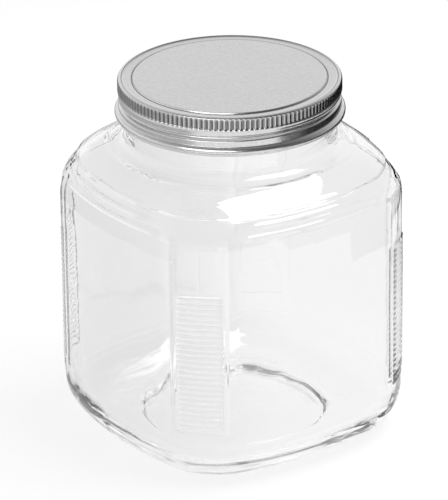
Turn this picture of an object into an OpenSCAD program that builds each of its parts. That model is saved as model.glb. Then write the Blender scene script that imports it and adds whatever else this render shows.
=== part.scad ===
// Square glass storage jar with a one-piece metal screw lid and its sealing liner.
// Origin: middle of the base, on the plane the jar stands on. +Z is up, and the
// middles of the four bowed faces look along +X, -X, +Y and -Y. Millimetres.

/* [Glass body] */
// Width across the middles of two opposite faces
body_w = 141; // [139:0.5:146]
// Width of the ribbed panel at each corner
panel_w = 26.8; // [24:0.2:30]
// Distance from the axis to the straight line across a corner panel
panel_d = 77.4; // [76:0.2:79]
// How far a corner panel bows out from that line
panel_bow = 1.6; // [0.8:0.1:2.4]
// Glass thickness of the walls
wall = 3.2; // [2.4:0.1:4]
// Height at which the faces stop and the shoulder begins
shoulder_z = 112; // [104:1:116]
// Height at which the shoulder reaches the neck
neck_z = 141; // [138:0.5:143]

/* [Base] */
// How far the bottom edge is rounded inwards
heel_in = 20; // [16:0.5:21]
// Height over which the bottom edge is rounded
heel_h = 22; // [16:0.5:26]
// Radius of the hollow pushed up under the base
push_r = 44; // [40:0.5:46]
// Height of that hollow at its middle
push_h = 3.6; // [2:0.1:4.5]
// Glass thickness at the base, where the walls turn into it
floor_t = 6.4; // [5:0.1:8]
// Glass thickness at the middle of the base
middle_t = 3.5; // [3:0.1:6]

/* [Neck] */
// Outer radius of the neck between the threads
neck_r = 47.6; // [47:0.1:47.8]
// Radius of the mouth
mouth_r = 44.2; // [43:0.1:44.6]
// Height of the sealing rim
rim_z = 168.6; // [168:0.1:169]
// Thread pitch, five turns to the inch
pitch = 5.08; // [4.8:0.02:5.2]
// Crest radius of the glass thread
thread_r = 49.4; // [49:0.1:49.6]

/* [Lid] */
// Radius of the knurled rim
lid_r = 51.25; // [51.1:0.05:52]
// Height of the lid's skirt below its panel
skirt_h = 18.1; // [17.6:0.1:18.4]
// Height of the knurled band
knurl_h = 4.6; // [3.5:0.1:5]
// Number of flutes in the knurled band
knurl_n = 136; // [120:4:144]
// Thickness of the lid's wall
sheet = 0.9; // [0.7:0.05:1]
// Thickness of the liner
liner_t = 1.0; // [0.8:0.1:1.1]

/* [Hidden] */
$fn = 96;

// Plan of the body: four bowed faces and four narrow bowed corner panels.
face_x = (panel_d + panel_w / 2) / sqrt(2);
face_y = (panel_d - panel_w / 2) / sqrt(2);
face_bow = body_w / 2 - face_x;
face_steps = 12;
panel_steps = 4;
quarter_n = face_steps + panel_steps;
ring_n = 4 * quarter_n;

// Shoulder curve: how fast it leaves the wall and how flat it meets the neck.
shoulder_in_power = 1.2;
shoulder_up_power = 0.82;
shoulder_steps = 9;
heel_steps = 5;
neck_seat_r = 46.8;
neck_seat_in_r = 45.1;
neck_foot_z = neck_z - wall + 0.1;
fillet_r = 6.5;
fillet_z = neck_z + 5;
flare_r = neck_r + 4.8;
flare_foot_z = neck_z - wall + 0.4;
rim_round = 1.2;

// Inside of the body.
inner_floor_z = floor_t + 0.6;
inner_heel_in = 15;
inner_heel_h = 17;

// Lid heights, from the panel's top surface down.
gap = 0.1;
panel_step = 0.5;
ring_rise = 0.1;
panel_r = 44.6;
ring_in_r = 48.1;
lid_z = rim_z + gap + liner_t + gap + sheet + panel_step;
skirt_r = lid_r - 0.35;
skirt_in_r = skirt_r - sheet;
bead_r = lid_r + 1.45;
curl_r = lid_r + 1.05;
knurl_top = lid_z - 1.3;
knurl_depth = 0.5;
bead_z = lid_z - skirt_h + 2.3;

// Threads: glass thread outside the neck, rolled thread inside the skirt. Both
// follow one helix, and the lid's runs half a pitch under the glass one.
thread_step = 5;
thread_run_out = 25;
glass_thread_turns = 1.05;
glass_thread_z = rim_z - 8;
lid_thread_from = 30;
lid_thread_turns = 1;
lid_thread_z = glass_thread_z - pitch / 2;
lid_thread_crest_r = neck_r + 0.5;

// Radius of the circle through the ends and the middle of a bow.
function bow_radius(half, bow) = (half * half + bow * bow) / (2 * bow);

// Point on an arc that bows out along +X: half chord at x, t from -1 to 1.
function bow_point(x, half, bow, t) =
    let (r = bow_radius(half, bow), a = asin(half / r) * t)
    [x + bow - r + r * cos(a), r * sin(a)];

function turned(p, a) = [p[0] * cos(a) - p[1] * sin(a), p[0] * sin(a) + p[1] * cos(a)];

// Outline of the body as points, counter-clockwise from one face's corner.
function outline() = [
    for (q = [0:3], k = [0:quarter_n - 1])
        k < face_steps
            ? turned(bow_point(face_x, face_y, face_bow, 2 * k / face_steps - 1), 90 * q)
            : turned(
                bow_point(panel_d, panel_w / 2, panel_bow, 2 * (k - face_steps) / panel_steps - 1),
                90 * q + 45
            )
];

// Ring of the outline moved towards the axis by a distance, at height z.
function inset_ring(d, z) = [
    for (p = outline()) let (s = (norm(p) - d) / norm(p)) [p[0] * s, p[1] * s, z]
];

// Ring on the shoulder: from the wall (t = 0) to a circle of radius r_end (t = 90).
function shoulder_ring(d, r_end, z0, z1, t) = [
    for (p = outline())
        let (
            r = r_end + (norm(p) - d - r_end) * pow(cos(t), shoulder_in_power),
            s = r / norm(p)
        )
        [p[0] * s, p[1] * s, z0 + (z1 - z0) * pow(sin(t), shoulder_up_power)]
];

// Circle with the same bearings as the outline, at height z.
function round_ring(r, z) = [for (p = outline()) [p[0] * r / norm(p), p[1] * r / norm(p), z]];

function heel_rings(d, run_in, z0, h, steps, from) = [
    for (i = [from:steps])
        let (t = 90 * i / steps)
        inset_ring(d + run_in * (1 - sin(t)), z0 + h * (1 - cos(t)))
];

// Every ring of the body's skin, from the middle of the underside, up the
// outside, over the top and down the inside to the middle of the floor.
function body_rings() = concat(
    [for (f = [0.25, 0.6, 0.85]) round_ring(push_r * f, push_h * (1 - f * f))],
    [round_ring(push_r, 0)],
    heel_rings(0, heel_in, 0, heel_h, heel_steps, 0),
    [
        for (i = [0:shoulder_steps])
            shoulder_ring(0, neck_seat_r, shoulder_z, neck_z, 90 * i / shoulder_steps)
    ],
    [
        for (i = [shoulder_steps:-1:0])
            shoulder_ring(wall, neck_seat_in_r, shoulder_z, neck_z - wall, 90 * i / shoulder_steps)
    ],
    [
        for (i = [heel_steps:-1:0])
            let (t = 90 * i / heel_steps)
            inset_ring(
                wall + inner_heel_in * (1 - sin(t)),
                inner_floor_z + inner_heel_h * (1 - cos(t))
            )
    ],
    [for (f = [1, 0.85, 0.25]) round_ring(push_r * f, middle_t + push_h * (1 - f * f))]
);

// Closed skin through a list of rings of n points each, flat at both ends.
module skin(rings, n) {
    last = len(rings) - 1;
    sides = [
        for (i = [0:last - 1], k = [0:n - 1])
            let (a = i * n + k, b = i * n + (k + 1) % n)
            each [[a, a + n, b + n], [a, b + n, b]]
    ];
    polyhedron(
        points = [for (ring = rings) each ring],
        faces = concat(
            [[for (k = [0:n - 1]) k]],
            sides,
            [[for (k = [n - 1:-1:0]) last * n + k]]
        )
    );
}

// Right-hand thread with a trapezoid section. It starts at angle `from`, and its
// helix passes angle 0 at height z.
module thread(root_r, crest_r, root_w, crest_w, from, turns, z) {
    out = crest_r > root_r ? 1 : -1;
    steps = ceil(turns * 360 / thread_step);
    rings = [
        for (i = [0:steps])
            let (
                run = turns * 360 * i / steps,
                a = from + run,
                lead = min(run, turns * 360 - run) / thread_run_out,
                crest = root_r + (crest_r - root_r) * max(0.25, min(1, lead)),
                h = z + pitch * a / 360,
                section = [
                    [root_r, -root_w / 2],
                    [crest, -crest_w / 2],
                    [crest, crest_w / 2],
                    [root_r, root_w / 2]
                ]
            )
            [for (s = out < 0 ? section : [for (j = [3:-1:0]) section[j]])
                [s[0] * cos(a), s[0] * sin(a), h + s[1]]]
    ];
    skin(rings, 4);
}

// Neck ring with a flared foot, a rounded rim and true round walls.
module neck() {
    rotate_extrude()
        difference() {
            union() {
                translate([mouth_r, neck_foot_z])
                    square([neck_r - mouth_r, rim_z - rim_round - neck_foot_z]);
                translate([mouth_r + rim_round, rim_z - 2 * rim_round])
                    square([neck_r - mouth_r - 2 * rim_round, 2 * rim_round]);
                for (x = [mouth_r + rim_round, neck_r - rim_round])
                    translate([x, rim_z - rim_round])
                        circle(r = rim_round);
                translate([neck_seat_r - 1, flare_foot_z])
                    square([flare_r - neck_seat_r + 1, fillet_z - flare_foot_z]);
            }
            translate([neck_r + fillet_r, fillet_z])
                circle(r = fillet_r);
        }
}

module jar() {
    color("gainsboro", 0.4)
        union() {
            skin(body_rings(), ring_n);
            neck();
            thread(neck_r - 0.3, thread_r, 3.2, 1.2, 0, glass_thread_turns, glass_thread_z);
        }
}

// Half-section of the lid's sheet: outside from the middle to the lower edge,
// then back along the inside.
function lid_section() = [
    [0, lid_z],
    [panel_r, lid_z],
    [panel_r + 0.4, lid_z - panel_step],
    [ring_in_r - 0.6, lid_z - panel_step],
    [ring_in_r, lid_z + ring_rise],
    [lid_r - 1.3, lid_z + ring_rise],
    [lid_r - 0.35, lid_z - 0.4],
    [lid_r, knurl_top],
    [lid_r, knurl_top - knurl_h],
    [skirt_r, knurl_top - knurl_h - 0.6],
    [skirt_r, bead_z + 2.2],
    [bead_r - 0.4, bead_z + 1],
    [bead_r, bead_z],
    [curl_r, bead_z - 1.1],
    [curl_r, lid_z - skirt_h],
    [curl_r - sheet, lid_z - skirt_h],
    [curl_r - sheet, bead_z - 0.8],
    [bead_r - sheet - 0.4, bead_z],
    [skirt_in_r, bead_z + 1.8],
    [skirt_in_r, lid_z - panel_step - sheet],
    [0, lid_z - panel_step - sheet]
];

module knurl_flutes() {
    flute_w = 360 / knurl_n;
    translate([0, 0, knurl_top - knurl_h])
        linear_extrude(height = knurl_h)
            difference() {
                circle(r = lid_r + 1);
                polygon([
                    for (i = [0:knurl_n - 1], s = [0, 0.5])
                        let (r = s == 0 ? lid_r : lid_r - knurl_depth)
                        [r * cos((i + s) * flute_w), r * sin((i + s) * flute_w)]
                ]);
            }
}

module lid_shell() {
    color("silver")
        union() {
            difference() {
                rotate_extrude()
                    polygon(lid_section());
                knurl_flutes();
            }
            thread(
                skirt_in_r + 0.3, lid_thread_crest_r, 2.2, 0.8,
                lid_thread_from, lid_thread_turns, lid_thread_z
            );
        }
}

module lid_liner() {
    color("white")
        translate([0, 0, rim_z + gap])
            cylinder(h = liner_t, r = skirt_in_r - 0.7);
}

jar();
lid_shell();
lid_liner();
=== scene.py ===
"""Square glass storage jar with a brushed metal screw lid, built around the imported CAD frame.

Sizes are in millimetres in the frame's own axes (+Z up, origin at the middle of the base) and
are turned into metres when a mesh is made. The jar's and the lid's driving sizes come from the
frame's boxes; the other named values repeat the CAD design.
"""

import math

import bpy
import numpy as np
from mathutils import Matrix, Vector, noise


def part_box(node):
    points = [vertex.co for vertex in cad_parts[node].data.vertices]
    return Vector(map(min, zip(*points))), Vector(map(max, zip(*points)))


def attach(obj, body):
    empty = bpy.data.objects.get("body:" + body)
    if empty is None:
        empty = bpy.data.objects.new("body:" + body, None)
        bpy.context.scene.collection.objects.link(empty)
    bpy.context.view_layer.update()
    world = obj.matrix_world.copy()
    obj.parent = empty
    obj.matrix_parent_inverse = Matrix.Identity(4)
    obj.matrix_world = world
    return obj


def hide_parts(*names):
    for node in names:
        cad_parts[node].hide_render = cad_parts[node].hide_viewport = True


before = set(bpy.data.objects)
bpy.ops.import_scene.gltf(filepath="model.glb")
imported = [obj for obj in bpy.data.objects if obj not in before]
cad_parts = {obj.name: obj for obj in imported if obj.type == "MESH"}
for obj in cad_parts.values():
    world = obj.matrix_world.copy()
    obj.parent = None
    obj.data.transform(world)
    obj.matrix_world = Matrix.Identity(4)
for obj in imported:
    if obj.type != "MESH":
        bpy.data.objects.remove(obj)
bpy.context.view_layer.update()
MM = 0.001


def box_mm(bounds):
    """A box's corners in millimetres."""
    return [[c / MM for c in corner] for corner in bounds]


JAR_HIGH = box_mm(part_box("jar"))[1]
LID_LOW, LID_HIGH = box_mm(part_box("lid_shell"))
LINER_LOW, LINER_HIGH = box_mm(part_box("lid_liner"))

# ---------------------------------------------------------------- driving sizes

# Plan of the glass body
HALF_W = JAR_HIGH[0]
PANEL_D = 77.4
PANEL_W = 26.8
PANEL_BOW = 1.6
FACE_X = (PANEL_D + PANEL_W / 2) / math.sqrt(2)
FACE_Y = (PANEL_D - PANEL_W / 2) / math.sqrt(2)

# Heights and profile of the glass body
RIM_Z = JAR_HIGH[2]
SHOULDER_Z = 112.0
NECK_Z = 141.0
SHOULDER_IN_POWER = 1.2
SHOULDER_UP_POWER = 0.82
BARS_FROM_Z = 119.0
BARS_TO_Z = 134.5
SHOULDER_END_Z = 139.3
NECK_SEAT_R = 46.8
NECK_R = 47.6
MOUTH_R = 44.2
FILLET_R = 6.5
FILLET_Z = NECK_Z + 5
HEEL_IN = 20.0
HEEL_H = 22.0
WALL = 3.2
INNER_FILLET = 8.0
INNER_HEEL_IN = 15.0
INNER_HEEL_H = 17.0
PUSH_R = 42.5
PUSH_H = 3.6
PUSH_STEP = 1.1
FLOOR_T = 6.2
MIDDLE_T = 3.5
DIP_R = 34.0
RIM_ROUND = 1.5

# How softly the body's corners are rounded above and below the panels
EDGE_BLUR = 32
EDGE_SAMPLES = 3600

# Slow unevenness of the blown inside: size, height, and where it fades out below the neck
WAVE_SIZE = 38
WAVE_RISE = 0.35
WAVE_TOP = 140
WAVE_FADE = 20
WAVE_MIN_R = 20

# Moulded details of the glass
RIB_PITCH = 2.64
RIB_LOW = 29.5
RIB_COUNT = 25
RIB_HIGH = RIB_LOW + RIB_COUNT * RIB_PITCH
RIB_HALF = 11.0
RIB_RISE = 0.95
RIB_EDGE = 1.2
BACK_QUARTER = 0
BACK_SHARE = 0.3
SEAM_RISE = 0.1
SEAM_HALF = 0.25
LEDGE_Z = 28.6
LEDGE_HALF = 0.7
LEDGE_SINK = 0.85
PANEL_LOW = 27.4
PANEL_HIGH = 121.0
PANEL_SINK = 0.55
PANEL_BEVEL = 1.2
BARS = ((131.2, 21.5), (127.0, 28.5), (122.6, 35.5))
BAR_HALF = 1.8
BAR_RISE = 0.6
CREASE_Z = 131.0
CREASE_DROP = 10.0
CREASE_EDGE = 0.3
CREASE_SINK = 0.8

# Threads
PITCH = 5.08
THREAD_R = 49.4
GLASS_THREAD_Z = RIM_Z - 8
GLASS_THREAD_TURNS = 1.05
GLASS_THREAD_RUN_IN = math.radians(25)
LID_THREAD_FROM = math.radians(30)
LID_THREAD_TURNS = 1.0
LID_THREAD_RUN_IN = math.radians(30)
LID_THREAD_DEPTH = 1.85

# Lid
LID_TOP = LID_HIGH[2] - 0.1
LID_R = 51.25
GROOVE_R = 44.75
RING_R = 49.35
LID_FOOT = LID_LOW[2]
BEAD_R = LID_HIGH[0]
SHEET = 0.35
KNURL_LOW = LID_TOP - 6.2
KNURL_HIGH = LID_TOP - 0.2
FLUTES = 136
FLUTE_COLUMNS = 4
FLUTE_DEPTH = 0.95
FLUTE_SHAPE = (0.0, 0.8, 1.0, 0.8)

# Painted shade in the lid's recesses, the knurl's flutes and the top's ring, as shares of the full
# darkening
FLUTE_SHADE_SHARE = 0.84
RING_SHADE_SHARE = 0.85

# Liner
LINER_RECESS = 0.12
LINER_DENT = 0.34
LINER_ROUND = 0.35
LINER_COLUMNS = 144

# Camera
CAMERA_BEARING = math.radians(236.05)
CAMERA_RISE = math.radians(24.28)
CAMERA_ROLL = math.radians(0.66)
CAMERA_DISTANCE = 42.96 * LID_R * MM
CAMERA_AIM_Z = 1.7 * LID_R * MM
CAMERA_SIDE = 0.068 * LID_R * MM
CAMERA_UP = 0.049 * LID_R * MM
LENS_PIXELS = 4769.0
FRAME_HEIGHT = 500.0
SENSOR = 36.0
FAR_CLIP = 50.0

# Stage and light, in metres, watts and radians
FLOOR_GLOW = 0.86
FLOOR_HALF = 6.0
FLOOR_DROP = 0.0002
CARD_HEIGHT = 0.004
CARD_STEPS = 49
# The veil's tones are painted light and shade seen only through the glass
VEIL_DROP = 0.0001
VEIL_FROM, VEIL_TO = -0.06, 0.02
VEIL_DARK, VEIL_LIGHT = 0.83, 0.99
GLASS_BOUNCES = 28
BRIGHT_BEARING = math.radians(95)
WORLD_DIM, WORLD_BRIGHT = 0.12, 1.0
WORLD_DIM_FROM, WORLD_BRIGHT_FROM = -0.8, 0.5
WORLD_TOP = 0.4
WORLD_TOP_FROM, WORLD_TOP_TO = 0.62, 0.95


# ---------------------------------------------------------------- mesh helpers

def smoothstep(low, high, x):
    """0 at low, 1 at high, with a level start and end."""
    t = np.clip((x - low) / (high - low), 0, 1)
    return t * t * (3 - 2 * t)


def smooth_max(a, b, k):
    """The larger of a and b, rounded over about k where they cross."""
    return 0.5 * (a + b + np.sqrt((a - b) ** 2 + k * k))


def grid_mesh(name, rings, centre_first, centre_last):
    """Closed mesh through rings of points (levels x columns x 3, millimetres)."""
    levels, columns = rings.shape[:2]
    points = np.concatenate([rings.reshape(-1, 3), [centre_first, centre_last]]) * MM
    first = levels * columns
    last = first + 1
    beside = [(k + 1) % columns for k in range(columns)]
    faces = []
    for i in range(levels - 1):
        this, above = i * columns, (i + 1) * columns
        faces += [(this + k, this + n, above + n, above + k) for k, n in enumerate(beside)]
    top = (levels - 1) * columns
    for k, n in enumerate(beside):
        faces.append((first, n, k))
        faces.append((last, top + k, top + n))
    mesh = bpy.data.meshes.new(name)
    mesh.from_pydata([tuple(p) for p in points], [], faces)
    mesh.validate()
    mesh.shade_smooth()
    piece = bpy.data.objects.new(name, mesh)
    bpy.context.scene.collection.objects.link(piece)
    return piece


def grid_normals(rings):
    """Outward normals of a closed grid, from its neighbours along and across."""
    across = np.roll(rings, -1, axis=1) - np.roll(rings, 1, axis=1)
    along = np.gradient(rings, axis=0)
    normal = np.cross(across, along)
    length = np.linalg.norm(normal, axis=2, keepdims=True)
    return normal / np.maximum(length, 1e-9)


# ---------------------------------------------------------------- glass body

def spaced(*runs):
    """Values from runs of (start, end, steps), each run without its end."""
    return np.concatenate([np.linspace(a, b, n, endpoint=False) for a, b, n in runs])


def mirrored(half):
    """A run of positive values, made symmetric about zero."""
    return np.concatenate([-half[::-1], half[1:] if half[0] == 0 else half])


def arc_points(x, half, bow, s):
    """Points on an arc that bows out along +X, by distance s from its middle."""
    r = (half * half + bow * bow) / (2 * bow)
    a = np.arcsin(half / r) * s / half
    return np.stack([x + bow - r + r * np.cos(a), r * np.sin(a)], axis=1)


def outline():
    """Plan of the body: points, if each is on a panel, its place along, and its quarter."""
    face_end = FACE_Y - 0.6
    face_s = mirrored(
        np.concatenate([spaced((0, 15, 3), (15, 39, 12), (39, face_end, 4)), [face_end]])
    )
    edge = PANEL_W / 2
    panel_s = mirrored(
        np.concatenate([[0, 0.22, 0.44, 0.9], spaced((1.8, 10, 5), (10, edge - 0.2, 7)), [edge]])
    )
    face = arc_points(FACE_X, FACE_Y, HALF_W - FACE_X, face_s)
    panel = arc_points(PANEL_D, edge, PANEL_BOW, panel_s)
    points, on_panel, along, quarter_of = [], [], [], []
    for quarter in range(4):
        for part, s, turn, is_panel in ((face, face_s, 0, False), (panel, panel_s, 45, True)):
            a = math.radians(90 * quarter + turn)
            c, w = math.cos(a), math.sin(a)
            x, y = part[:, 0], part[:, 1]
            points.append(np.stack([x * c - y * w, x * w + y * c], axis=1))
            on_panel += [is_panel] * len(s)
            along += list(s)
            quarter_of += [quarter] * len(s)
    return np.concatenate(points), np.array(on_panel), np.array(along), np.array(quarter_of)


def rounded_reach(reach, bearing):
    """The outline's distances with its corners rounded off, as above and below the panels."""
    angle = np.unwrap(np.arctan2(bearing[:, 1], bearing[:, 0]))
    full_turn = angle[0] + 2 * math.pi
    fine = np.linspace(angle[0], full_turn, EDGE_SAMPLES, endpoint=False)
    values = np.interp(fine, np.append(angle, full_turn), np.append(reach, reach[0]))
    total = np.zeros_like(values)
    weights = 0.0
    for shift in range(-EDGE_BLUR * 3, EDGE_BLUR * 3 + 1):
        w = math.exp(-0.5 * (shift / EDGE_BLUR) ** 2)
        total += w * np.roll(values, shift)
        weights += w
    return np.minimum(reach, np.interp(angle, fine, total / weights) - 0.02)


PLAN, ON_PANEL, ALONG, QUARTER = outline()
REACH = np.linalg.norm(PLAN, axis=1)
BEARING = PLAN / REACH[:, None]
ROUNDED = rounded_reach(REACH, BEARING)


def crisp(z):
    """Share of the panels' sharp edges at height z."""
    starts = smoothstep(PANEL_LOW - 3.5, PANEL_LOW, z)
    return starts * (1 - smoothstep(PANEL_HIGH, PANEL_HIGH + 3, z))


def reach_at(z):
    """Distances from the axis to the outside at height z."""
    return ROUNDED + (REACH - ROUNDED) * crisp(z)


def ring_at(radius, z):
    """A ring of the given radius (one value or one per column) at height z."""
    r = np.broadcast_to(radius, REACH.shape)
    h = np.broadcast_to(z, REACH.shape)
    return np.stack([BEARING[:, 0] * r, BEARING[:, 1] * r, h], axis=1)


def shoulder_radius(z, reach, seat, low, high):
    """Distance from the axis to the shoulder at height z, one value per column."""
    up = np.clip((z - low) / (high - low), 0, 1)
    t = np.arcsin(up ** (1 / SHOULDER_UP_POWER))
    return seat + (reach - seat) * np.cos(t) ** SHOULDER_IN_POWER


def shoulder_height(r, reach, seat, low, high):
    """Height of the same shoulder at distance r from the axis."""
    c = np.clip((r - seat) / (reach - seat), 0, 1) ** (1 / SHOULDER_IN_POWER)
    return low + (high - low) * np.sin(np.arccos(c)) ** SHOULDER_UP_POWER


def base_rings():
    """Underside: the push-up and the flat ring that the jar stands on."""
    dome = PUSH_H - PUSH_STEP
    steps = (0.1, 0.25, 0.4, 0.55, 0.7, 0.82, 0.91, 0.96)
    rings = [ring_at(PUSH_R * f, PUSH_STEP + dome * (1 - f ** 2)) for f in steps]
    rings.append(ring_at(PUSH_R - 1.0, PUSH_STEP + 0.06))
    rings.append(ring_at(PUSH_R - 0.5, PUSH_STEP - 0.15))
    rings.append(ring_at(PUSH_R - 0.1, 0.25))
    rings.append(ring_at(PUSH_R + 0.4, 0.0))
    foot = ROUNDED - HEEL_IN
    rings += [ring_at(PUSH_R + (foot - PUSH_R) * f, 0.0) for f in (0.35, 0.7)]
    return rings


def round_rings(reach, run, rise, foot_z, angles):
    """Rings round a quarter ellipse from (reach - run, foot_z) out to (reach, foot_z + rise)."""
    return [
        ring_at(reach - run * (1 - math.sin(a)), foot_z + rise * (1 - math.cos(a)))
        for a in np.radians(angles)
    ]


def heel_rings():
    """The rounded heel, from the bearing ring up to the sides."""
    return round_rings(ROUNDED, HEEL_IN, HEEL_H, 0, np.linspace(0, 90, 17))


def side_heights():
    """Heights of the rings between heel and shoulder, five to each rib."""
    below = PANEL_LOW - 1
    return spaced(
        (HEEL_H + 2, below, 2),
        (below, RIB_LOW, 7),
        (RIB_LOW, RIB_HIGH, RIB_COUNT * 5),
        (RIB_HIGH, SHOULDER_Z, 5),
    )


def shoulder_heights():
    """Heights of the shoulder's rings, closest together over the bars."""
    return spaced(
        (SHOULDER_Z, BARS_FROM_Z, 5),
        (BARS_FROM_Z, BARS_TO_Z, 42),
        (BARS_TO_Z, SHOULDER_END_Z, 12),
    )


def neck_rings():
    """From the shoulder, through the fillet, up the neck to the rim and into the mouth."""
    start = shoulder_radius(SHOULDER_END_Z, ROUNDED, NECK_SEAT_R, SHOULDER_Z, NECK_Z)
    rings = []
    for f in np.linspace(0, 1, 13):
        r = NECK_R + (start - NECK_R) * (1 - math.sin(f * math.pi / 2))
        run = np.clip(NECK_R + FILLET_R - r, 0, FILLET_R)
        fillet = FILLET_Z - np.sqrt(FILLET_R ** 2 - run ** 2)
        z = smooth_max(fillet, shoulder_height(r, ROUNDED, NECK_SEAT_R, SHOULDER_Z, NECK_Z), 0.4)
        rings.append(ring_at(r, z))
    thread_from = GLASS_THREAD_Z - 3
    rings += [ring_at(NECK_R, z) for z in spaced((FILLET_Z + 1.5, thread_from, 4))]
    rings += [ring_at(NECK_R, z) for z in np.linspace(thread_from, RIM_Z - RIM_ROUND, 26)]
    for side_r, way, angles in ((NECK_R, -1, (15, 90, 5)), (MOUTH_R, 1, (90, 0, 6))):
        for a in np.radians(np.linspace(*angles)):
            r = side_r + way * RIM_ROUND * (1 - math.cos(a))
            rings.append(ring_at(r, RIM_Z - RIM_ROUND * (1 - math.sin(a))))
    return rings


def inner_rings():
    """Down the mouth, the inside of the shoulder and walls, and across the floor."""
    low, high = SHOULDER_Z, NECK_Z - WALL
    inner = ROUNDED - WALL
    turn_r = MOUTH_R + INNER_FILLET
    seat = shoulder_height(turn_r, inner, MOUTH_R, low, high)
    rings = [ring_at(MOUTH_R, z) for z in (160, 152, 147)]
    for a in np.radians(np.linspace(0, 90, 10)):
        z = seat + INNER_FILLET * (1 - math.sin(a))
        rings.append(ring_at(turn_r - INNER_FILLET * math.cos(a), z))
    start = float(seat.min())
    for z in np.linspace(start - 0.4, low, 16):
        rings.append(ring_at(shoulder_radius(z, inner, MOUTH_R, low, high), z))
    rings += [ring_at(inner, z) for z in (100, 84, 68, 52, 40, 32)]
    rings += round_rings(inner, INNER_HEEL_IN, INNER_HEEL_H, FLOOR_T, np.linspace(90, 0, 13))
    foot = inner - INNER_HEEL_IN
    for f in (0.97, 0.93, 0.89, 0.85, 0.81, 0.77, 0.65, 0.5, 0.35, 0.2, 0.08):
        r = np.minimum(foot * 0.99, foot.max() * f)
        dome = MIDDLE_T + PUSH_H * (1 - np.minimum(r / PUSH_R, 1) ** 2)
        rings.append(ring_at(r, dome + (FLOOR_T - MIDDLE_T) * smoothstep(DIP_R, foot, r)))
    return rings


def crease_relief(z):
    """The crease round the shoulder: a slope down that ends in a step."""
    crease = smoothstep(CREASE_Z - CREASE_DROP, CREASE_Z - CREASE_EDGE, z) * (z < CREASE_Z)
    return -CREASE_SINK * crease


def panel_relief(z):
    """Height of the corner panel's surface: sunk field, ribs, foot ledge and mould seam."""
    inside = PANEL_W / 2 - np.abs(ALONG)[None, :]
    edge = np.minimum(smoothstep(0, PANEL_BEVEL, inside), smoothstep(0, 0.8, z - PANEL_LOW))
    edge = np.minimum(edge, smoothstep(0, 3.0, PANEL_HIGH - z))
    relief = -PANEL_SINK * edge
    across = smoothstep(0, RIB_EDGE, RIB_HALF - np.abs(ALONG)[None, :])
    wave = 0.5 - 0.5 * np.cos(2 * math.pi * (z - RIB_LOW) / RIB_PITCH)
    relief += RIB_RISE * wave * across * ((z > RIB_LOW) & (z < RIB_HIGH))
    relief -= LEDGE_SINK * across * np.exp(-(((z - LEDGE_Z) / LEDGE_HALF) ** 2))
    relief *= np.where(QUARTER == BACK_QUARTER, BACK_SHARE, 1.0)[None, :]
    seam = np.exp(-((ALONG[None, :] / SEAM_HALF) ** 2)) * (QUARTER % 2 == 0)[None, :]
    seam_ends = 1 - smoothstep(PANEL_HIGH - 4, PANEL_HIGH, z)
    relief += SEAM_RISE * seam * smoothstep(6, 12, z) * seam_ends
    return relief + crease_relief(z)


def face_relief(z, slope):
    """Height of a bowed face's surface: three raised bars over a flat field."""
    relief = np.zeros_like(z)
    for bar_z, bar_half in BARS:
        beyond = np.maximum(np.abs(ALONG)[None, :] - bar_half, 0)
        distance = np.hypot(beyond, (z - bar_z) * slope)
        relief = np.maximum(relief, BAR_RISE * (1 - smoothstep(BAR_HALF * 0.1, BAR_HALF, distance)))
    side = smoothstep(BARS[0][1], BARS[0][1] + 8, np.abs(ALONG))[None, :]
    return relief + crease_relief(z) * side


def helix_offset(angle, z, start_z, start_angle, turns, ramp):
    """Nearest signed distance in z to a right-hand thread, and its run-in weight."""
    best = np.full(z.shape, 99.0)
    weight = np.zeros(z.shape)
    end = 2 * math.pi * turns
    for lap in (-1, 0, 1, 2):
        run = angle - start_angle + 2 * math.pi * lap
        centre = start_z + PITCH * (run + start_angle) / (2 * math.pi)
        fade = smoothstep(0, ramp, run) * (1 - smoothstep(end - ramp, end, run))
        nearer = (np.abs(z - centre) < np.abs(best)) & (fade > 0)
        best = np.where(nearer, z - centre, best)
        weight = np.where(nearer, fade, weight)
    return best, weight


def jar_glass():
    """The glass body as one closed mesh: outside with its relief and thread, then inside."""
    outer = np.array(
        base_rings()
        + heel_rings()
        + [ring_at(reach_at(z), z) for z in side_heights()]
        + [
            ring_at(shoulder_radius(z, reach_at(z), NECK_SEAT_R, SHOULDER_Z, NECK_Z), z)
            for z in shoulder_heights()
        ]
        + neck_rings()
    )
    inner = np.array(inner_rings())
    normal = grid_normals(outer)
    z = outer[:, :, 2]
    slope = 1 / np.maximum(np.sqrt(1 - normal[:, :, 2] ** 2), 0.5)
    relief = np.where(ON_PANEL[None, :], panel_relief(z), face_relief(z, slope))
    relief[z > FILLET_Z] = 0
    relief[:len(base_rings())] = 0
    outer = outer + normal * relief[:, :, None]

    angle = np.arctan2(outer[:, :, 1], outer[:, :, 0]) % (2 * math.pi)
    off, weight = helix_offset(
        angle, outer[:, :, 2], GLASS_THREAD_Z, 0, GLASS_THREAD_TURNS, GLASS_THREAD_RUN_IN
    )
    crest = (THREAD_R - NECK_R) * weight * (1 - smoothstep(0.5, 1.7, np.abs(off)))
    reach = np.hypot(outer[:, :, 0], outer[:, :, 1])
    neck_zone = (outer[:, :, 2] > FILLET_Z) & (reach > NECK_R - 0.2)
    for axis in (0, 1):
        outer[:, :, axis] += np.where(neck_zone, crest * BEARING[None, :, axis], 0)

    for ring in inner:
        for k, point in enumerate(ring):
            fade = min(1, max(0, (WAVE_TOP - point[2]) / WAVE_FADE))
            wave = noise.noise(Vector(point) / WAVE_SIZE) * WAVE_RISE * fade
            point[:2] *= 1 + wave / max(WAVE_MIN_R, REACH[k])
    rings = np.concatenate([outer, inner])
    return grid_mesh("jar_glass", rings, (0, 0, PUSH_H), (0, 0, MIDDLE_T + PUSH_H))


# ---------------------------------------------------------------- lid and liner

def arc(centre_r, centre_z, radius, start, end, steps):
    """Profile points (distance from the axis, height) on an arc, angles in degrees."""
    a = np.radians(np.linspace(start, end, steps))
    return [(centre_r + radius * math.cos(x), centre_z + radius * math.sin(x)) for x in a]


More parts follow.
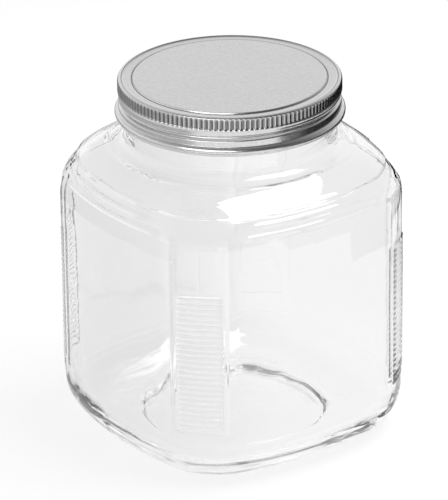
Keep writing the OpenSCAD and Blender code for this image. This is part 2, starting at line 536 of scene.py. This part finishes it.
def lid_profile():
    """Outside of the lid's sheet from the middle of the top to the lower edge."""
    top = LID_TOP
    points = [(r, top) for r in (6, 16, 26, 34, 40, 43.4)]
    points += arc(43.95, top - 0.25, 0.25, 90, 10, 5)
    points += [(44.3, top - 0.6), (44.55, top - 0.75), (44.9, top - 0.72), (45.2, top - 0.5)]
    points += [(45.5, top - 0.42), (46.4, top - 0.41), (47.6, top - 0.4), (48.5, top - 0.38)]
    points += [(48.8, top - 0.3), (49.05, top - 0.1), (49.3, top + 0.04), (49.6, top + 0.09)]
    points += arc(49.7, top - 1.47, 1.55, 88, 0, 8)
    points += [(LID_R, top - 1.9), (LID_R, top - 2.6), (LID_R, top - 3.4), (LID_R, top - 4.3)]
    points += [(LID_R, top - 5.0), (LID_R, top - 5.5), (LID_R, top - 5.8), (LID_R - 0.1, top - 6.1)]
    points += [(LID_R - 0.35, top - 6.35)]
    points += [(LID_R - 0.4, z) for z in np.linspace(top - 6.8, LID_FOOT + 4.2, 30)]
    points += arc(BEAD_R - 1.1 - 0.9, LID_FOOT + 2.2, 1.1 + 0.9, 62, -20, 9)
    points += [(BEAD_R - 0.75, LID_FOOT + 1.25)]
    points += arc(BEAD_R - 1.5, LID_FOOT + 0.75, 0.75, 10, -90, 6)
    return np.array(points)


def inside_profile(outside):
    """The same sheet's inner side, one sheet thickness in, from the lower edge back."""
    along = np.gradient(outside, axis=0)
    along /= np.linalg.norm(along, axis=1, keepdims=True)
    inward = np.stack([along[:, 1], -along[:, 0]], axis=1)
    inside = outside + inward * SHEET
    keep = np.arange(len(outside)) < len(outside) - 6
    inside = inside[keep][::-1]
    curl = arc(BEAD_R - 1.55, LID_FOOT + 0.8, 0.8, -110, -200, 5)
    return np.concatenate([curl, inside])


def lid_metal():
    """The lid's sheet with its rolled knurl and thread, and the painted shade in its recesses that
    its material reads.
    """
    outside = lid_profile()
    profile = np.concatenate([outside, inside_profile(outside)])
    columns = FLUTES * FLUTE_COLUMNS
    a = np.arange(columns) * 2 * math.pi / columns
    r = np.broadcast_to(profile[:, None, 0], (len(profile), columns)).copy()
    z = np.broadcast_to(profile[:, None, 1], (len(profile), columns)).copy()

    top = LID_TOP
    outer_side = (np.arange(len(profile)) < len(outside))[:, None]
    band = smoothstep(KNURL_LOW, KNURL_LOW + 0.7, z)
    band = band * (1 - smoothstep(KNURL_HIGH - 1.3, KNURL_HIGH, z))
    flute = np.tile(FLUTE_SHAPE, FLUTES)[None, :]
    in_knurl = r > LID_R - 1.5
    r -= np.where(in_knurl, FLUTE_DEPTH * flute * band, 0)

    off, weight = helix_offset(
        np.broadcast_to(a[None, :], z.shape), z, GLASS_THREAD_Z - PITCH / 2,
        LID_THREAD_FROM, LID_THREAD_TURNS, LID_THREAD_RUN_IN,
    )
    skirt = (r > NECK_R) & (z < top - 5.5) & (z > LID_FOOT + 2.5)
    groove = LID_THREAD_DEPTH * weight * (1 - smoothstep(0.15, 1.45, np.abs(off)))
    r -= np.where(skirt, groove, 0)
    rings = np.stack([r * np.cos(a)[None, :], r * np.sin(a)[None, :], z], axis=2)[::-1]
    middle = (0, 0, top - SHEET)
    piece = grid_mesh("lid_metal", rings, middle, (0, 0, top))
    # Painted shade: share of darkening in the top's groove and ring and in the knurl's flutes, kept
    # as a point attribute for the material
    on_top = outer_side * (z > top - 1.2)
    groove = on_top * smoothstep(0.4, 0.1, np.abs(profile[:, None, 0] - GROOVE_R))
    ring = RING_SHADE_SHARE * on_top * smoothstep(0.35, 0.1, np.abs(profile[:, None, 0] - RING_R))
    knurl = FLUTE_SHADE_SHARE * flute * band * outer_side * in_knurl
    shade_share = np.maximum(knurl, np.maximum(groove, ring))[::-1]
    shade_attribute = piece.data.attributes.new("shade_share", "FLOAT", "POINT")
    shade_attribute.data.foreach_set("value", np.append(shade_share.ravel(), (0.0, 0.0)))
    return piece


def liner_foam():
    """Foam disc with rounded edges and the ring that the glass rim has pressed into it."""
    low, high, r = LINER_LOW[2], LINER_HIGH[2], LINER_HIGH[0]
    press = (MOUTH_R + NECK_R) / 2
    flat = low + LINER_RECESS
    under = [(0.02 * r, flat), (20, flat), (36, flat), (press - 2.2, flat)]
    under += [(press - 1.2, low + 0.26), (press, low + LINER_DENT), (press + 1.2, low + 0.26)]
    under += [(press + 2.0, flat)]
    edge = arc(r - LINER_ROUND, low + 0.4, LINER_ROUND, -90, 0, 4)
    edge += arc(r - LINER_ROUND, high - LINER_ROUND, LINER_ROUND, 0, 90, 4)
    over = [(40, high), (20, high), (0.02 * r, high)]
    profile = np.array(under + edge + over)
    a = np.linspace(0, 2 * math.pi, LINER_COLUMNS, endpoint=False)
    rings = np.stack(
        [
            profile[:, None, 0] * np.cos(a)[None, :],
            profile[:, None, 0] * np.sin(a)[None, :],
            np.broadcast_to(profile[:, None, 1], (len(profile), len(a))),
        ],
        axis=2,
    )
    return grid_mesh("liner_foam", rings, (0, 0, flat), (0, 0, high))


# ---------------------------------------------------------------- materials

GLASS_TINT = (0.965, 0.966, 0.965, 1)
GLASS_IOR = 1.517
METAL_DARK, METAL_LIGHT = (0.54, 0.54, 0.54, 1), (0.88, 0.88, 0.88, 1)
METAL_GRAIN = 850
RECESS_SHADE_DARKEST = 0.12
FOAM_DARK, FOAM_LIGHT = (0.8, 0.8, 0.77, 1), (0.9, 0.9, 0.88, 1)
FLOOR_DARK, FLOOR_LIGHT = (0.14, 0.14, 0.14, 1), (0.16, 0.16, 0.16, 1)


def new_material(name):
    """A new node material, its node tree and its Principled shader."""
    material = bpy.data.materials.new(name)
    material.use_nodes = True
    tree = material.node_tree
    return material, tree, tree.nodes["Principled BSDF"]


def node(tree, kind, **values):
    """A new node, with its inputs or else its properties set by name."""
    made = tree.nodes.new(kind)
    for key, value in values.items():
        if key in made.inputs:
            made.inputs[key].default_value = value
        else:
            setattr(made, key, value)
    return made


def object_coords(tree, scale):
    """Object coordinates in metres, scaled."""
    place = node(tree, "ShaderNodeTexCoord")
    mapping = node(tree, "ShaderNodeMapping")
    mapping.inputs["Scale"].default_value = scale
    tree.links.new(place.outputs["Object"], mapping.inputs["Vector"])
    return mapping.outputs["Vector"]


def noise_texture(tree, vector, scale, detail, roughness=0.5):
    """Noise value at a vector."""
    made = node(tree, "ShaderNodeTexNoise", Scale=scale, Detail=detail, Roughness=roughness)
    tree.links.new(vector, made.inputs["Vector"])
    return made.outputs["Fac"]


def mapped(tree, value, low, high, from_low=0.0, from_high=1.0):
    """Map Range node from from_low..from_high to low..high."""
    made = node(tree, "ShaderNodeMapRange")
    made.inputs["From Min"].default_value = from_low
    made.inputs["From Max"].default_value = from_high
    made.inputs["To Min"].default_value = low
    made.inputs["To Max"].default_value = high
    tree.links.new(value, made.inputs["Value"])
    return made.outputs["Result"]


def colour_between(tree, factor, low, high):
    """Colour that goes from low to high with a 0..1 value."""
    made = node(tree, "ShaderNodeMix", data_type="RGBA")
    made.inputs["A"].default_value = low
    made.inputs["B"].default_value = high
    tree.links.new(factor, made.inputs["Factor"])
    return made.outputs["Result"]


def product(tree, a, b):
    """Two colours multiplied."""
    made = node(tree, "ShaderNodeMix", data_type="RGBA", blend_type="MULTIPLY")
    made.inputs["Factor"].default_value = 1
    tree.links.new(a, made.inputs["A"])
    tree.links.new(b, made.inputs["B"])
    return made.outputs["Result"]


def bump(tree, height, strength, distance, under=None):
    """Bumped normal, over another bumped normal if there is one."""
    made = node(tree, "ShaderNodeBump", Strength=strength, Distance=distance)
    tree.links.new(height, made.inputs["Height"])
    if under is not None:
        tree.links.new(under, made.inputs["Normal"])
    return made.outputs["Normal"]


def glass_material():
    """Clear glass with a slow and a fine unevenness in its surface."""
    material, tree, shader = new_material("flint_glass")
    shader.inputs["Base Color"].default_value = GLASS_TINT
    shader.inputs["Transmission Weight"].default_value = 1
    shader.inputs["IOR"].default_value = GLASS_IOR
    place = object_coords(tree, (1, 1, 1))
    slow = noise_texture(tree, place, 26, 2)
    fine = noise_texture(tree, place, 120, 2)
    waves = bump(tree, slow, 0.16, 0.004)
    shader_normal = bump(tree, fine, 0.05, 0.0006, waves)
    tree.links.new(shader_normal, shader.inputs["Normal"])
    tree.links.new(mapped(tree, fine, 0.0, 0.02), shader.inputs["Roughness"])
    return material


def painted_recess_shade(tree):
    """Painted shade: colour darkened in the knurl's flutes, the panel's groove and the ring beside
    it, where shade falls.
    """
    shade_share = node(tree, "ShaderNodeAttribute", attribute_name="shade_share")
    return mapped(tree, shade_share.outputs["Fac"], 1, RECESS_SHADE_DARKEST)


def metal_material():
    """Grained sheet metal: fine speckle in colour, gloss and bump, with broad dull patches."""
    material, tree, shader = new_material("brushed_lid_metal")
    shader.inputs["Metallic"].default_value = 1
    grain = noise_texture(tree, object_coords(tree, (METAL_GRAIN,) * 3), 1, 4, 0.7)
    blotch = noise_texture(tree, object_coords(tree, (1, 1, 1)), 45, 3)
    speckle = colour_between(tree, grain, METAL_DARK, METAL_LIGHT)
    # Base colour: grain speckle times the painted shade in the lid's recesses
    tree.links.new(product(tree, speckle, painted_recess_shade(tree)), shader.inputs["Base Color"])
    rough = node(tree, "ShaderNodeMath", operation="ADD")
    tree.links.new(mapped(tree, grain, 0.16, 0.3), rough.inputs[0])
    tree.links.new(mapped(tree, blotch, -0.03, 0.05), rough.inputs[1])
    tree.links.new(rough.outputs[0], shader.inputs["Roughness"])
    shader_normal = bump(tree, grain, 0.22, 0.00012)
    tree.links.new(shader_normal, shader.inputs["Normal"])
    return material


def foam_material():
    """Closed-cell foam, slightly mottled."""
    material, tree, shader = new_material("liner_foam_white")
    place = object_coords(tree, (1, 1, 1))
    cells = node(tree, "ShaderNodeTexVoronoi", Scale=1400)
    tree.links.new(place, cells.inputs["Vector"])
    mottle = noise_texture(tree, place, 90, 3)
    colour = colour_between(tree, mottle, FOAM_DARK, FOAM_LIGHT)
    tree.links.new(colour, shader.inputs["Base Color"])
    tree.links.new(mapped(tree, mottle, 0.6, 0.8), shader.inputs["Roughness"])
    tree.links.new(bump(tree, cells.outputs["Distance"], 0.3, 0.0002), shader.inputs["Normal"])
    return material


def floor_material():
    """Pale floor that glows faintly, so that it stays near white under a soft light."""
    material, tree, shader = new_material("pale_floor")
    place = object_coords(tree, (1, 1, 1))
    mottle = noise_texture(tree, place, 3, 2)
    colour = colour_between(tree, mottle, FLOOR_DARK, FLOOR_LIGHT)
    tree.links.new(colour, shader.inputs["Base Color"])
    shader.inputs["Roughness"].default_value = 0.9
    shader.inputs["Specular IOR Level"].default_value = 0.0
    shader.inputs["Emission Color"].default_value = (1, 1, 1, 1)
    shader.inputs["Emission Strength"].default_value = FLOOR_GLOW
    return material


def glow_material(name):
    """A black matt material that gives out light of strength 1."""
    material, tree, shader = new_material(name)
    shader.inputs["Base Color"].default_value = (0, 0, 0, 1)
    shader.inputs["Specular IOR Level"].default_value = 0.0
    shader.inputs["Emission Strength"].default_value = 1
    return material, tree, shader


def card_material(name, tone):
    """Even grey of a reflected card."""
    material, _, shader = glow_material(name)
    shader.inputs["Emission Color"].default_value = (tone, tone, tone, 1)
    return material


def veil_material():
    """Painted light and shade seen through the glass: a glowing sheet with no shadow of the jar on
    it, a little darker on the jar's left at the front.
    """
    material, tree, shader = glow_material("veil")
    place = node(tree, "ShaderNodeTexCoord")
    across = node(tree, "ShaderNodeVectorMath", operation="DOT_PRODUCT")
    across.inputs[1].default_value = (-math.sin(CAMERA_BEARING), math.cos(CAMERA_BEARING), 0)
    tree.links.new(place.outputs["Object"], across.inputs[0])
    side = across.outputs["Value"]
    grade = mapped(tree, side, VEIL_DARK, VEIL_LIGHT, VEIL_FROM, VEIL_TO)
    tree.links.new(grade, shader.inputs["Emission Color"])
    return material


# ---------------------------------------------------------------- pieces on their bodies

def dress(piece, material, body, cad_node):
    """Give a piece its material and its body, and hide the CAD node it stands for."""
    piece.data.materials.append(material)
    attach(piece, body)
    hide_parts(cad_node)
    return piece


JAR = dress(jar_glass(), glass_material(), "glass", "jar")
LID = dress(lid_metal(), metal_material(), "lid", "lid_shell")
LINER = dress(liner_foam(), foam_material(), "seal", "lid_liner")


# ---------------------------------------------------------------- stage, light and camera

def add_floor():
    """Plain floor just under the jar."""
    mesh = bpy.data.meshes.new("floor")
    half = FLOOR_HALF
    corners = [(-half, -half, 0), (half, -half, 0), (half, half, 0), (-half, half, 0)]
    mesh.from_pydata(corners, [], [(0, 1, 2, 3)])
    floor = bpy.data.objects.new("floor", mesh)
    floor.location.z = -FLOOR_DROP
    bpy.context.scene.collection.objects.link(floor)
    mesh.materials.append(floor_material())
    return floor


def add_card(name, bearings, reach, height, material, glossy):
    """Flat ring sector round the jar, seen only by reflections or only through the glass."""
    angles = np.radians(np.linspace(*bearings, CARD_STEPS))
    near, far = ([(r * math.cos(a), r * math.sin(a), height) for a in angles] for r in reach)
    n = len(near)
    mesh = bpy.data.meshes.new(name)
    mesh.from_pydata(near + far, [], [(k, n + k, n + k + 1, k + 1) for k in range(n - 1)])
    mesh.materials.append(material)
    card = bpy.data.objects.new(name, mesh)
    card.visible_camera = False
    card.visible_diffuse = False
    card.visible_glossy = glossy
    card.visible_transmission = not glossy
    card.visible_shadow = False
    bpy.context.scene.collection.objects.link(card)


def add_area(name, place, aim, size, power, lights_up):
    """Soft rectangular lamp that lights only the named objects."""
    data = bpy.data.lights.new(name, "AREA")
    data.shape = "RECTANGLE"
    data.size, data.size_y = size
    data.energy = power
    lamp = bpy.data.objects.new(name, data)
    lamp.location = place
    lamp.rotation_euler = (Vector(aim) - Vector(place)).to_track_quat("-Z", "Y").to_euler()
    bpy.context.scene.collection.objects.link(lamp)
    lit = bpy.data.collections.new(name + "_lit")
    for piece in lights_up:
        lit.objects.link(piece)
    lamp.light_linking.receiver_collection = lit


def camera_axes():
    """Unit vectors of the camera: forward, right and up."""
    forward = Vector((
        -math.cos(CAMERA_BEARING) * math.cos(CAMERA_RISE),
        -math.sin(CAMERA_BEARING) * math.cos(CAMERA_RISE),
        -math.sin(CAMERA_RISE),
    ))
    right = forward.cross(Vector((0, 0, 1))).normalized()
    return forward, right, right.cross(forward)


def add_camera():
    """Long lens at the photograph's viewing angle."""
    forward, right, up = camera_axes()
    data = bpy.data.cameras.new("camera")
    data.sensor_fit = "AUTO"
    data.sensor_width = SENSOR
    data.lens = LENS_PIXELS / FRAME_HEIGHT * SENSOR
    data.clip_end = FAR_CLIP
    camera = bpy.data.objects.new("camera", data)
    place = Vector((0, 0, CAMERA_AIM_Z)) - forward * CAMERA_DISTANCE
    place = place - right * CAMERA_SIDE - up * CAMERA_UP
    turn = Matrix((right, up, -forward)).transposed()
    camera.matrix_world = (
        Matrix.Translation(place) @ turn.to_4x4() @ Matrix.Rotation(-CAMERA_ROLL, 4, "Z")
    )
    bpy.context.scene.collection.objects.link(camera)
    bpy.context.scene.camera = camera


def add_world():
    """Soft surround: bright low down behind the jar, darker overhead and behind the camera."""
    world = bpy.data.worlds.new("studio")
    world.use_nodes = True
    tree = world.node_tree
    background = tree.nodes["Background"]
    place = node(tree, "ShaderNodeTexCoord")
    parts = node(tree, "ShaderNodeSeparateXYZ")
    tree.links.new(place.outputs["Generated"], parts.inputs[0])
    ramp = node(tree, "ShaderNodeValToRGB")
    ramp.color_ramp.elements[0].position = WORLD_TOP_FROM
    ramp.color_ramp.elements[0].color = (1, 1, 1, 1)
    ramp.color_ramp.elements[1].position = WORLD_TOP_TO
    ramp.color_ramp.elements[1].color = (WORLD_TOP, WORLD_TOP, WORLD_TOP, 1)
    height = mapped(tree, parts.outputs["Z"], 0, 1, -1, 1)
    tree.links.new(height, ramp.inputs["Fac"])
    away = node(tree, "ShaderNodeVectorMath", operation="DOT_PRODUCT")
    away.inputs[1].default_value = (math.cos(BRIGHT_BEARING), math.sin(BRIGHT_BEARING), 0)
    tree.links.new(place.outputs["Generated"], away.inputs[0])
    behind = mapped(
        tree, away.outputs["Value"], WORLD_DIM, WORLD_BRIGHT, WORLD_DIM_FROM, WORLD_BRIGHT_FROM
    )
    tree.links.new(product(tree, ramp.outputs["Color"], behind), background.inputs["Color"])
    bpy.context.scene.world = world


def set_bounces():
    """Enough light bounces for the many reflections inside the thick glass."""
    cycles = bpy.context.scene.cycles
    cycles.max_bounces = GLASS_BOUNCES
    cycles.glossy_bounces = GLASS_BOUNCES
    cycles.transmission_bounces = GLASS_BOUNCES


FLOOR = add_floor()
add_world()

# Bearings in degrees, reach in metres from the jar's axis
DARK_CARD = card_material("card_dark", 0.0)
GREY_CARD = card_material("card_grey", 0.5)
add_card("card_right", (-50, 48), (0.28, 2.5), CARD_HEIGHT, DARK_CARD, True)
add_card("card_front", (-75, -50), (0.34, 2.5), CARD_HEIGHT, DARK_CARD, True)
add_card("card_left", (60, 200), (0.3, 2.5), CARD_HEIGHT, GREY_CARD, True)
# The veil: glowing sheet just under the jar, seen only through the glass, painting light and shade
# on the glass's inside
add_card("veil", (0, 360), (0.001, 4.0), -VEIL_DROP, veil_material(), False)

# The softbox is what the shoulder reflects; the rim light models the lid's metal
add_area(
    "softbox", (0.42, -0.32, 1.15), (0.42, -0.32, 0.0), (0.78, 0.86), 16, [JAR, LINER, FLOOR]
)
add_area("rim_light", (-0.95, -0.64, 0.77), (0, 0, 0.16), (1.1, 0.5), 6.5, [LID])
add_camera()
bpy.context.scene.view_settings.view_transform = "Standard"
set_bounces()
